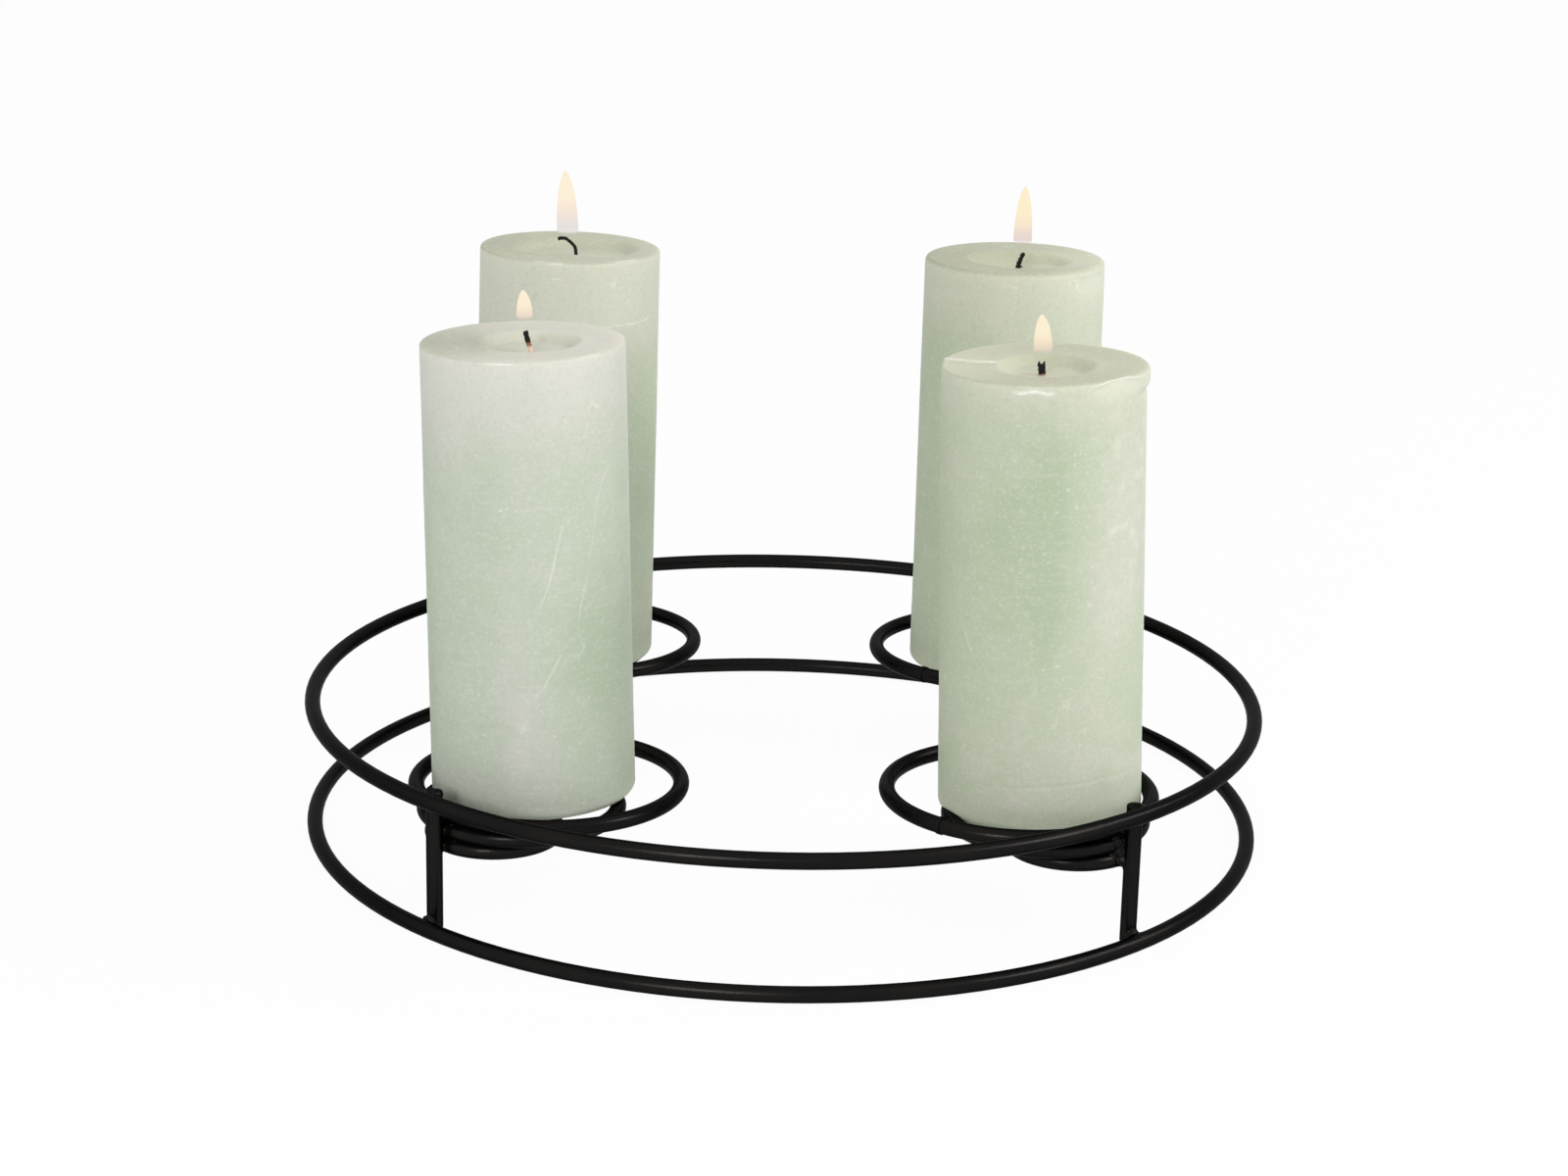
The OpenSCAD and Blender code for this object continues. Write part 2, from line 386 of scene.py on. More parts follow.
# The candle's mesh is finer on the side that faces the camera, out to NEAR_HALF degrees
NEAR_HALF = 112
NEAR_COLUMNS = 300
FAR_COLUMNS = 96
SIDE_STEP = 0.5
BASE_STEPS = 46
EDGE_STEPS = 10
RIM_STEPS = 12
TOP_STEPS = 60
PITS = 60
INNER_R = 1.9
POOL_SLOPE = 7.0
# How the wax climbs the wick and goes down into its hole: (radius, height above the pool's floor)
WAX_FOOT = ((1.75, 0.05), (1.35, 0.16), (1.1, 0.35), (0.95, 0.45), (0.85, 0.1), (0.8, -1.2))


def candle_axes(spec):
    """The candle's own frame: its place and a turn by its lean, in metres."""
    a = math.radians(spec["lean"])
    place = Vector((spec["x"], spec["y"], CANDLE_Z)) * MM
    return Matrix.Translation(place) @ Matrix.Rotation(a, 4, "Y")


def facing(spec):
    """Direction from a candle to the camera, as an angle about the candle's axis."""
    return math.atan2(CAMERA_PLACE.y / MM - spec["y"], CAMERA_PLACE.x / MM - spec["x"])


# Marks on the wax, measured from the line that faces the camera: degrees to the right and height
# above the seat in mm. A scratch is a line with a width, a lift in mm and a frosty share.
SCRATCHES = {
    "front_left": [
        ([(22, 105), (18, 97), (14, 87), (8.5, 78), (2, 66.5)], 0.6, 0.10, 0.5),
        ([(57, 119.5), (48, 115.5), (42.5, 109), (40.5, 103), (38.5, 93), (35.5, 85)],
         0.6, 0.05, 0.35),
        ([(35.5, 85), (32, 78), (28, 68), (28, 61.5)], 0.55, 0.10, 0.55),
        ([(28, 61.5), (31.5, 58.5), (27, 55.5), (19, 58)], 0.5, 0.08, 0.45),
        ([(19, 58.5), (13.5, 53), (7.5, 46.5), (0, 41.5)], 0.6, 0.10, 0.5),
        ([(21, 56), (16, 51), (12, 47.5)], 0.45, 0.06, 0.4),
        ([(-13, 9.6), (-4, 9.3), (4, 9.5)], 0.35, 0.04, 0.6),
        ([(-9, 12.2), (1, 12.0)], 0.3, 0.03, 0.45),
        ([(-3, 3.6), (5, 3.3)], 0.45, 0.05, 0.45),
        ([(-52, 82), (-47, 70), (-44, 66)], 0.6, 0.05, 0.25),
        ([(-33, 60), (-30, 57), (-27, 56)], 0.5, 0.05, 0.35),
        ([(-2, 45), (3, 44), (8, 45.5)], 0.45, 0.05, 0.3),
        ([(6, 39), (12, 38), (17, 39.5)], 0.45, 0.05, 0.3),
    ],
    "front_right": [
        ([(-48, 71), (-45, 66), (-38.5, 59), (-32, 52.5)], 0.7, 0.08, 0.45),
        ([(-51, 84), (-49, 76), (-48, 71)], 0.8, 0.05, 0.25),
        ([(-50, 46), (-46, 40), (-40, 35)], 0.7, 0.04, 0.25),
        ([(-13, 30), (-3, 34), (8.5, 37.5), (11.5, 44), (20, 48), (29, 54)], 0.7, 0.06, 0.3),
        ([(-24, 29), (-18, 29)], 0.35, 0.04, 0.5),
        ([(15, 43), (17, 45.5)], 0.5, 0.10, 0.6),
        ([(-12, 60), (-4, 57), (-2, 49), (-10, 45)], 0.9, 0.05, 0.2),
        ([(42, 76), (45, 70)], 0.9, 0.10, 0.4),
    ],
    "back_right": [
        ([(-68, 60), (-60, 48), (-56, 40)], 0.7, 0.07, 0.35),
        ([(62, 118), (57, 108), (54, 96)], 0.7, 0.08, 0.35),
        ([(30, 84), (22, 80), (15, 70)], 0.6, 0.07, 0.3),
        ([(34, 153.6), (39, 155.2), (52, 155.8), (67, 155.9)], 0.5, 0.05, 0.8),
        # This soft white patch below the rim at the front is raised a little; its white is a
        # painted highlight on the rounded shoulder
        ([(-7, 154.2), (4, 153.6)], 1.3, 0.03, 0.6),
    ],
    "back_left": [
        ([(17, 134.4), (34, 134.7), (48, 134.7), (56, 135.2), (66, 136.5)], 0.55, 0.10, 0.95),
        ([(28, 154.5), (30, 151.5), (27, 149)], 0.6, 0.08, 0.8),
        ([(30, 152), (34, 151)], 0.5, 0.06, 0.6),
        ([(29, 151.5), (24, 150.5)], 0.5, 0.06, 0.5),
        ([(-14, 152.5), (-4, 152.8)], 0.4, 0.04, 0.6),
        ([(30, 117), (38, 118), (44, 119.5)], 0.5, 0.05, 0.5),
    ],
}
# Small bright nicks: degrees, height, radius and how white
NICKS = {
    "front_left": [
        (-27.5, 125, 0.4, 0.8), (-14, 107, 0.45, 0.8), (44, 139.5, 0.8, 0.6), (-4, 113, 0.5, 0.4),
        (-11, 135, 0.45, 0.7), (32, 123.5, 0.5, 0.4), (2, 111.5, 0.5, 0.4),
        (13.5, 107.5, 0.45, 0.4), (27, 41, 0.7, 0.3), (-36, 39, 0.5, 0.3), (29, 3.6, 0.4, 0.6),
        (-25, 26, 0.5, 0.3),
        (18, 86, 0.5, 0.3), (41, 18, 0.9, 0.2), (40, 141, 1.4, 0.2)],
    "front_right": [
        (14.5, 118.5, 0.5, 0.6), (8.5, 111, 0.5, 0.6), (-20, 109, 0.45, 0.5),
        (-13, 115.5, 0.5, 0.3), (2, 97, 0.55, 0.5), (4, 94, 0.5, 0.45), (0, 88, 0.5, 0.35),
        (28, 79, 0.9, 0.35), (10, 58.5, 0.6, 0.7), (-4, 61, 0.5, 0.35), (-17, 52.5, 0.6, 0.4),
        (-31, 127, 0.9, 0.2), (14, 44.5, 0.5, 0.6), (38, 120, 0.6, 0.25), (46, 131, 1.0, 0.4),
        (-19, 130, 0.5, 0.3)],
    "back_right": [(-10, 120, 0.6, 0.3), (20, 130, 0.6, 0.35), (-25, 95, 0.5, 0.3),
                   (44, 153.4, 1.1, 0.55), (47, 151.2, 0.8, 0.4)],
    "back_left": [(-20, 138, 0.6, 0.3), (-5, 120, 0.6, 0.3), (12, 132, 0.5, 0.35)],
}
# Large soft areas that are greyer (above zero) or greener: degrees, height, half width, half
# height and how much. On the front left candle, the green strip at the left edge (-78) and the
# green area low at the right (48) are painted shade.
BLOTCHES_AND_PAINTED_SHADE = {
    "front_left": [(-40, 40, 30, 35, -0.35), (5, 20, 40, 18, 0.35), (38, 75, 26, 30, -0.25),
                   (-8, 46, 18, 22, 0.4), (48, 40, 26, 34, -0.7), (-78, 50, 14, 60, -0.9)],
    "front_right": [(0, 100, 26, 50, -0.45), (-45, 60, 25, 40, 0.2), (50, 90, 22, 60, 0.7),
                    (4, 96, 11, 42, -0.9), (-50, 130, 24, 24, 0.7), (6, 28, 34, 20, 0.5)],
    "back_right": [(-50, 120, 25, 40, -0.2), (40, 140, 40, 30, 0.3), (-20, 146, 30, 12, 0.7)],
    "back_left": [(-50, 110, 22, 45, -0.3), (20, 130, 45, 25, 0.3)],
}


def line_distance(u, v, points):
    """Distance from each (u, v) to a polyline, and how far along it the nearest place is."""
    best = np.full(u.shape, 1e9)
    along = np.zeros(u.shape)
    total = sum(math.dist(a, b) for a, b in zip(points, points[1:]))
    run = 0.0
    for (ax, ay), (bx, by) in zip(points, points[1:]):
        length = math.hypot(bx - ax, by - ay)
        t = np.clip(((u - ax) * (bx - ax) + (v - ay) * (by - ay)) / length ** 2, 0, 1)
        d = np.hypot(u - ax - t * (bx - ax), v - ay - t * (by - ay))
        near = d < best
        best = np.where(near, d, best)
        along = np.where(near, (run + t * length) / total, along)
        run += length
    return best, along


def candle_marks(name, spec, angle, seen, height):
    """Relief in mm, frostiness and tone at each point of the side; some of the tone is painted
    shade.
    """
    seed = spec["seed"]
    across = BASE_R * np.radians(seen)

    def noise(cell_round, cell_high, number):
        return round_noise(angle, height, cell_round, cell_high, seed + number)

    patches = noise(26, 22, 2)
    relief = (0.13 * noise(44, 48, 0) + 0.07 * noise(16, 20, 1)
              + 0.03 * noise(14, 1.1, 3) * soft_step(patches, -0.7, 0.6)
              + 0.022 * noise(3.2, 2.2, 4)
              + 0.022 * noise(1.5, 1.3, 5) * soft_step(patches, -0.6, 0.6))
    tone = 0.35 * noise(40, 34, 6)
    # Blotches, some of them painted shade on the front left candle
    for a, z, wide, tall, share in BLOTCHES_AND_PAINTED_SHADE[name]:
        tone = tone + share * bell(seen, a, wide) * bell(height, z, tall)
    frost = np.zeros(angle.shape)
    for number, (points, width, lift, white) in enumerate(SCRATCHES[name]):
        line = [(BASE_R * math.radians(a), z) for a, z in points]
        distance, along = line_distance(across + 0.5 * noise(6, 6, 40 + number), height, line)
        ends = soft_step(along, 0, 0.15) * (1 - soft_step(along, 0.85, 1))
        broken = soft_step(noise(2.2, 2.6, 60 + number), -0.55, 0.45)
        thick = width * (0.55 + 0.35 * noise(7, 7, 80 + number))
        mark = bell(distance, 0, thick) * ends * (0.35 + 0.65 * broken)
        relief = relief + lift * (mark - 0.55 * bell(distance, 1.4 * width, 0.7 * width) * ends)
        frost = np.maximum(frost, 0.85 * white * mark)
    random = np.random.default_rng(seed + 7)
    for a, z, radius, white in NICKS[name]:
        turn = random.uniform(-0.9, 0.9)
        du, dv = across - BASE_R * math.radians(a), height - z
        long = du * math.cos(turn) + dv * math.sin(turn)
        short = dv * math.cos(turn) - du * math.sin(turn)
        mark = bell(np.hypot(long / 1.35, short / 0.6), 0, radius)
        ridge = bell(np.hypot(long / 1.35, (short + radius) / 0.6), 0, radius)
        relief = relief - 0.10 * mark + 0.08 * ridge
        frost = np.maximum(frost, white * mark)
    for _ in range(PITS):
        a, z = random.uniform(-math.pi, math.pi) * BASE_R, random.uniform(6, spec["height"] - 6)
        wide, tall = random.uniform(0.5, 2.2), random.uniform(0.4, 1.0)
        depth, white = random.uniform(0.02, 0.09), random.uniform(0, 0.35)
        du = (across - a + GIRTH / 2) % GIRTH - GIRTH / 2
        pit = np.exp(-(du / wide) ** 2 - ((height - z) / tall) ** 2)
        relief = relief - depth * pit
        frost = np.maximum(frost, white * pit * (depth > 0.06))
    return relief, frost, tone


def rows_of(kinds, *wanted):
    """1 in the rows of these kinds and 0 in the others, as a column."""
    return np.isin(kinds, wanted)[:, None] * 1.0


def candle_profile(h, low, rim, dip):
    """The rows of a candle's mesh, from the middle of its base round to the wick hole: arrays of
    kind, radius, height and how far in from the rim."""
    rows = [("base", r, low, 0.0) for r in np.linspace(3, BASE_R - BASE_ROUND, BASE_STEPS)[:-1]]
    for k in range(EDGE_STEPS + 1):
        a = math.radians(90 / EDGE_STEPS * k - 90)
        rows.append(("side", BASE_R - BASE_ROUND * (1 - math.cos(a)),
                     low + BASE_ROUND * (1 + math.sin(a)), 0.0))
    first = low + BASE_ROUND
    count = int((h - rim - first) / SIDE_STEP)
    for k in range(1, count):
        z = first + (h - rim - first) * k / count
        rows.append(("side", BASE_R + (RIM_R - BASE_R) * z / h, z, 0.0))
    for k in range(RIM_STEPS + 1):
        a = math.radians(90 / RIM_STEPS * k)
        rows.append(("rim", RIM_R - rim * (1 - math.cos(a)), h - rim * (1 - math.sin(a)), 0.0))
    rows += [("top", 0.0, h, k / TOP_STEPS) for k in range(1, TOP_STEPS + 1)]
    rows += [("foot", r, h - POOL_DEPTH - dip + rise, 1.0) for r, rise in WAX_FOOT]
    return [np.array(column) for column in zip(*rows)]


def press_wire(spec, seat, points):
    """Lifts the points of the base and the lower side off the wire of the seat ring."""
    a = math.radians(spec["lean"])
    own_x, own_y, own_z = np.moveaxis(points, -1, 0)
    x = own_x * math.cos(a) + own_z * math.sin(a) + spec["x"]
    z = own_z * math.cos(a) - own_x * math.sin(a) + CANDLE_Z
    off = np.abs(np.hypot(x - seat["x"], own_y + spec["y"] - seat["y"]) - seat["r"])
    room = WIRE_R + WIRE_GAP
    top = np.where(off < room, seat["z"] + np.sqrt(np.maximum(room ** 2 - off ** 2, 0)), -99)
    points[..., 2] += np.maximum(top - z, 0) / math.cos(a)
    return points


def make_candle(name, spec, seat):
    """The whole candle: base pressed onto its ring, worn side, rim, melted pool and wick hole."""
    h, low, rim, seed = spec["height"], -spec["sink"], spec["rim"], spec["seed"]
    degrees = np.concatenate([
        np.linspace(-NEAR_HALF, NEAR_HALF, NEAR_COLUMNS, endpoint=False),
        np.linspace(NEAR_HALF, 360 - NEAR_HALF, FAR_COLUMNS, endpoint=False)])
    kinds, *columns = candle_profile(h, low, rim, spec["dip"])
    radius, height, inward = (column[:, None] * np.ones(len(degrees)) for column in columns)
    turn = np.ones((len(kinds), 1)) * (facing(spec) + np.radians(degrees))
    seen = np.ones((len(kinds), 1)) * ((degrees + 180) % 360 - 180)
    flat = np.zeros_like(turn)
    on_rim, on_top = rows_of(kinds, "rim"), rows_of(kinds, "top")
    inside = rows_of(kinds, "top", "foot")

    relief, frost, tone = candle_marks(name, spec, turn, seen, height)
    radius = radius + relief * soft_step(height, low, low + 2.5) * rows_of(kinds, "side", "rim")

    # The top runs from the rim to the wick; its points are set by their distance from the wick
    wave = (0.28 * round_noise(turn, flat, 60, 10, seed + 20)
            + 0.08 * round_noise(turn, flat, 13, 10, seed + 21))
    edge_r = RIM_R - rim
    shift = spec["wick"] * np.where(on_top > 0, inward, rows_of(kinds, "foot"))
    radius = np.where(on_top > 0, edge_r + (INNER_R - edge_r) * inward, radius)
    pool_edge = round_curve(seen, spec["pool"]) + 0.5 * round_noise(turn, flat, 34, 10, seed + 23)
    pool = soft_step(pool_edge + 0.8 - radius, 0, POOL_SLOPE) * on_top
    height = height - POOL_DEPTH * pool - spec["dip"] * bell(radius, INNER_R, 5.5) * on_top
    height = height - 0.5 * soft_step(edge_r - radius, 0, 12) * on_top * (1 - pool)
    height = height + wave * (on_rim + on_top * (1 - soft_step(inward, 0, 1)))
    height = height + 0.10 * round_noise(turn, radius, 22, 9, seed + 22) * on_top * (1 - pool)
    # How far in from the rim a point is; the top gets the cap colour, partly painted light, and
    # softer wax
    rise = np.clip((np.arange(len(kinds)) - np.argmax(kinds == "rim")) / RIM_STEPS, 0, 1)
    cap = soft_step(rise[:, None], 0.35, 1) * np.ones_like(turn)

    # Painted shade: the top darker by direction where it gets less light, and the rounded top of
    # the rim darker too, which damps its bright line
    dark = round_curve(seen, spec["painted_shade"])
    over = soft_step(height, h - rim, h - 0.1 * rim) * on_rim
    painted_shade = np.maximum(dark * inside, over * (0.25 + 0.65 * dark))
    # Painted glow of the flame on the wax round the wick
    near_wick = np.hypot(radius * np.cos(np.radians(seen)) - 1.6, radius * np.sin(np.radians(seen)))
    painted_flame_glow = bell(near_wick, 0, 2.6) * inside
    wax = SimpleNamespace(kinds=kinds, seen=seen, below=h - height, height=height, radius=radius,
                          frost=frost, gloss=np.zeros_like(turn))
    TOP_WORK[name](wax)

    x, y, z = wax.radius * np.cos(turn) + shift, wax.radius * np.sin(turn), wax.height
    # The base is cut level, though the candle leans
    lean = math.radians(spec["lean"])
    under = (z * math.cos(lean) - x * math.sin(lean) < low) | (kinds == "base")[:, None]
    z = np.where(under, (low + x * math.sin(lean)) / math.cos(lean), z)
    points = press_wire(spec, seat, np.stack([x, y, z], -1))

    shape, quads, triangles = closed_rings(points * MM)
    obj = mesh_object("wax_" + name, shape, quads, triangles)
    fields = dict(painted_shade=painted_shade, frost=wax.frost, gloss=wax.gloss, pool=pool, painted_flame_glow=painted_flame_glow, tone=tone,
                  down=h - wax.height, cap=cap)
    for label, values in fields.items():
        put_attribute(obj, label, np.r_[values[0].mean(), values.ravel(), values[-1].mean()])
    obj.matrix_world = candle_axes(spec)
    return obj


def arc_share(seen, start, end, soft=3.0):
    """1 between two directions in degrees from the camera-facing line, soft at both ends."""
    inside = soft_step(seen, start - soft, start + soft)
    return inside * (1 - soft_step(seen, end - soft, end + soft))


def rim_line(wax, start, end, below, width, soft):
    """A thin line along the rim, at a depth below the candle's top in mm."""
    return (rows_of(wax.kinds, "side", "rim") * arc_share(wax.seen, start, end, soft)
            * bell(wax.below, below, width))


def top_front_left(wax):
    # Two thin white lines on the rim are painted highlights, and glossier too
    first = rim_line(wax, -20, -6, 0.85, 0.30, 4)
    second = rim_line(wax, 34, 48, 0.25, 0.16, 5)
    wax.frost = np.maximum(wax.frost, np.maximum(0.9 * first, 0.5 * second))
    wax.gloss = np.maximum(first, second)


def top_front_right(wax):
    outside, low = rows_of(wax.kinds, "side", "rim"), rows_of(wax.kinds, "side")
    seen, below, angle = wax.seen, wax.below, np.radians(wax.seen)
    # A straight lip from the left rim to the pool: the wax in front of it lies a little lower
    from_lip = np.radians(seen + 99.5)
    across = wax.radius * np.sin(from_lip)
    reach = soft_step(wax.radius, 14.5, 17) * (np.cos(from_lip) > 0)
    reach = reach * rows_of(wax.kinds, "rim", "top")
    lip = bell(across, 0, 0.6) * reach
    wax.height += 0.45 * lip
    wax.height -= 0.55 * reach * soft_step(across, 0, 0.9) * (1 - soft_step(seen, -85, -25))
    # The lip's white line is a painted highlight
    wax.frost = np.maximum(wax.frost, 0.9 * lip)
    # A flake is missing from the rim at the right, and the rim bulges over a scar beside it
    arc = 2.6 - 2.6 * (1 - ((seen - 48) / 23) ** 2) + 0.3 * round_noise(angle, 0 * seen, 5, 5, 97)
    deep = 8 + 2.5 * round_noise(angle, 0 * seen, 12, 5, 98)
    flake = (outside * arc_share(seen, 29, 65, 7) * soft_step(below, arc - 0.1, arc + 0.9)
             * (1 - soft_step(below, 2, deep)))
    wax.radius -= 0.75 * flake
    edge = outside * arc_share(seen, 29, 65, 5) * bell(below, np.maximum(arc, 0.1), 0.38)
    wax.frost = np.maximum(wax.frost, np.maximum(0.16 * flake, 0.7 * edge))
    bulge = outside * bell(seen, 88, 26) * (1 - soft_step(below, 4.5, 7.5))
    wax.radius += 1.1 * bulge * (1 - 0.6 * soft_step(1.5 - below, 0, 1.5))
    wax.radius -= 0.7 * outside * bell(seen, 80, 14) * bell(below, 7.6, 0.8)
    # A ragged lip of wax along the front of the rim, glossier, its white a painted highlight
    ragged = bell(below, 2.4 + 0.35 * np.sin(angle * 22), 0.55)
    ragged = outside * arc_share(seen, -16, 6) * ragged
    wax.radius += 0.12 * ragged
    wax.gloss = ragged
    wax.frost = np.maximum(wax.frost, ragged)
    # The crease above the base; worn wax high up at the right; rough wax low down at the right
    crease = bell(wax.height, 16 + 1.2 * np.sin(angle * 2.2), 0.7) * arc_share(seen, -60, 75, 12)
    wax.radius -= 0.14 * crease * low
    worn = arc_share(seen, 34, 80, 10) * bell(wax.height, 112, 34) * low
    grains = round_noise(angle, wax.height, 2.6, 2.2, 92)
    wax.radius += 0.10 * worn * grains
    rough = arc_share(seen, 44, 84, 8) * bell(wax.height, 17, 9) * low
    wax.radius += 0.35 * rough * round_noise(angle, wax.height, 5, 3, 91)
    white = np.maximum(0.34 * worn * soft_step(grains, 0.1, 0.9), 0.25 * rough)
    wax.frost = np.maximum(wax.frost, white)


def top_back_right(wax):
    # A dent below the rim at the right
    dent = rows_of(wax.kinds, "side", "rim") * arc_share(wax.seen, 46, 76, 7)
    dent = dent * soft_step(wax.below, 2.4, 4.0) * (1 - soft_step(wax.below, 6, 12))
    wax.radius -= 0.6 * dent
    wax.frost = np.maximum(wax.frost, 0.2 * dent)


def top_back_left(wax):
    # Three thin white lines on the rim are painted highlights, and glossier too
    for start, end, below, white in ((-15, -5, 0.7, 0.8), (29, 48, 0.3, 0.5), (-22, -16, 0.4, 0.5)):
        line = rim_line(wax, start, end, below, 0.3, 3)
        wax.gloss = np.maximum(wax.gloss, line)
        wax.frost = np.maximum(wax.frost, white * line)
    # A blob of wax on the top at the left, 27.4 mm from the wick
    from_blob = np.radians(wax.seen + 36)
    along = np.where(np.cos(from_blob) > 0, wax.radius - 27.4, 99)
    blob = bell(np.hypot(wax.radius * np.sin(from_blob), along), 0, 1.2) * rows_of(wax.kinds, "top")
    wax.height += 0.4 * blob
    wax.frost = np.maximum(wax.frost, 0.5 * blob)


TOP_WORK = {"front_left": top_front_left, "front_right": top_front_right,
            "back_right": top_back_right, "back_left": top_back_left}


# ---- wax
DEEP = (180, 194, 170)
GREEN = (190, 201, 181)
GREY = (204, 207, 196)
BAND = (215, 216, 205)
FOOT = (197, 203, 186)
# The top's colour: partly the wax's own, partly painted light from above and from the flames
CAP_AND_PAINTED_LIGHT = (223, 222, 205)
# Painted shade on the top
PAINTED_SHADE = (172, 175, 153)
POOL = (203, 208, 186)
# Painted warm glow of the flames on the wax round the wick
FLAME_GLOW_PAINT = (246, 208, 188)
FROST = (242, 242, 233)
# Each candle's dye: shares of red and blue, how far down in mm the pale band reaches, and how
# strong the band is
DYES = {"front_left": (1.006, 1.012, 56, 1.0), "front_right": (1.002, 0.980, 28, 0.8),
        "back_right": (1.000, 0.975, 50, 0.95), "back_left": (1.001, 0.985, 66, 1.0)}


def wax_material(name, seed):
    t = Tree("wax_" + name)
    here = t.place(shift=(seed * 0.37, seed * 0.11, seed * 0.23))
    patches = t.noise(here, 22, 2, 0.5)
    blotches = t.noise(here, 90, 4, 0.6)
    streaks = t.noise(t.place(scale=(1, 1, 9), shift=(0, seed * 0.3, seed * 0.17)), 70, 5, 0.65)
    hairs = t.noise(t.place(scale=(1, 1, 14), shift=(seed * 0.5, 0, 0)), 260, 3, 0.6)
    grain = t.noise(here, 1100, 3, 0.6)
    mottle = t.noise(here, 620, 3, 0.7)
    frost, pool, down = t.attribute("frost"), t.attribute("pool"), t.attribute("down")
    red, blue, reach, strength = DYES[name]

    def dyed(colour):
        return linear(colour[0] * red, colour[1], colour[2] * blue)

    tone = t.plus(t.attribute("tone"), t.swing(patches, 1.8))
    tone = t.plus(tone, t.swing(blotches, 1.1))
    body = t.mix(t.spread(tone, -0.9, 0.0), dyed(DEEP), dyed(GREEN))
    body = t.mix(t.spread(tone, -0.1, 0.9), body, dyed(GREY))
    edge = t.plus(down, t.swing(patches, -30))
    body = t.mix(t.spread(edge, reach, -4, 0, strength), body, dyed(BAND))
    body = t.mix(t.spread(down, 136, 152, 0, 0.25), body, dyed(FOOT))
    # The top's colour, paler and warmer than the side: partly the wax's own, partly painted light
    # from above and from the flames
    body = t.mix(t.times(t.attribute("cap"), 0.85), body, dyed(CAP_AND_PAINTED_LIGHT))
    # Painted shade on the top, where it gets less light
    body = t.mix(t.attribute("painted_shade"), body, dyed(PAINTED_SHADE))
    body = t.mix(t.times(pool, 0.6), body, dyed(POOL))
    # Painted warm glow of the flames round the wick
    body = t.mix(t.times(t.attribute("painted_flame_glow"), 0.50), body, dyed(FLAME_GLOW_PAINT))
    # Fine cloudiness of cast wax, and faint brush marks round the candle
    body = t.mix(t.spread(streaks, 0.48, 0.80, 0, 0.34), body, dyed(BAND))
    body = t.mix(t.spread(mottle, 0.50, 0.72, 0, 0.40), body, dyed(BAND))
    body = t.mix(t.spread(mottle, 0.50, 0.30, 0, 0.30), body, dyed(DEEP))

    # Tiny pale specks, one in a few of the cells, and pale dust along the streaks
    cells = t.add("ShaderNodeTexVoronoi", Vector=here, Scale=360)
    chosen = t.add("ShaderNodeSeparateColor", Color=cells.outputs["Color"]).outputs[0]
    speck = t.times(t.spread(cells.outputs["Distance"], 0.20, 0.05), t.spread(chosen, 0.86, 0.92))
    dust = t.times(t.spread(hairs, 0.56, 0.74, 0, 0.34), t.spread(blotches, 0.42, 0.62))
    dust = t.larger(dust, t.spread(grain, 0.56, 0.76, 0, 0.40))
    white = t.larger(t.times(speck, 0.45), dust)
    broken = t.times(frost, t.spread(grain, 0.30, 0.58, 0.5, 1))
    white = t.larger(white, broken, clamp=True)
    body = t.mix(white, body, linear(*FROST))

    rough = t.spread(streaks, 0.3, 0.7, 0.50, 0.62)
    rough = t.plus(rough, t.times(t.attribute("gloss"), -0.25))
    rough = t.plus(rough, t.times(pool, -0.10))
    lift = t.times(streaks, 0.5)
    for layer, share in ((hairs, 0.30), (white, 0.3), (grain, 0.22), (mottle, 0.30)):
        lift = t.plus(lift, t.times(layer, share))
    bump = t.add("ShaderNodeBump", Strength=0.36, Distance=0.0005, Height=lift).outputs[0]
    soft = t.spread(t.attribute("cap"), 0, 1, 0.40, 0.85)
    t.surface(Base_Color=body, Roughness=rough, Normal=bump, Subsurface_Weight=soft,
              Subsurface_Radius=(1.0, 0.95, 0.78), Subsurface_Scale=0.007, IOR=1.44,
              Specular_IOR_Level=0.32)
    return t.owner


def ring_spec(node):
    """Middle, radius and level of a wire ring, in mm, from its box."""
    low, high = (Vector(corner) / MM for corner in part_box(node))
    return dict(x=(low.x + high.x) / 2, y=(low.y + high.y) / 2, z=(low.z + high.z) / 2,
                r=(high.x - low.x) / 2 - WIRE_R)


for corner, spec in CANDLES.items():
    wax = make_candle(corner, spec, ring_spec("seat_ring_" + corner))
    wax.data.materials.append(wax_material(corner, spec["seed"]))
    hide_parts("candle_" + corner)
    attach(wax, "candle_" + corner)


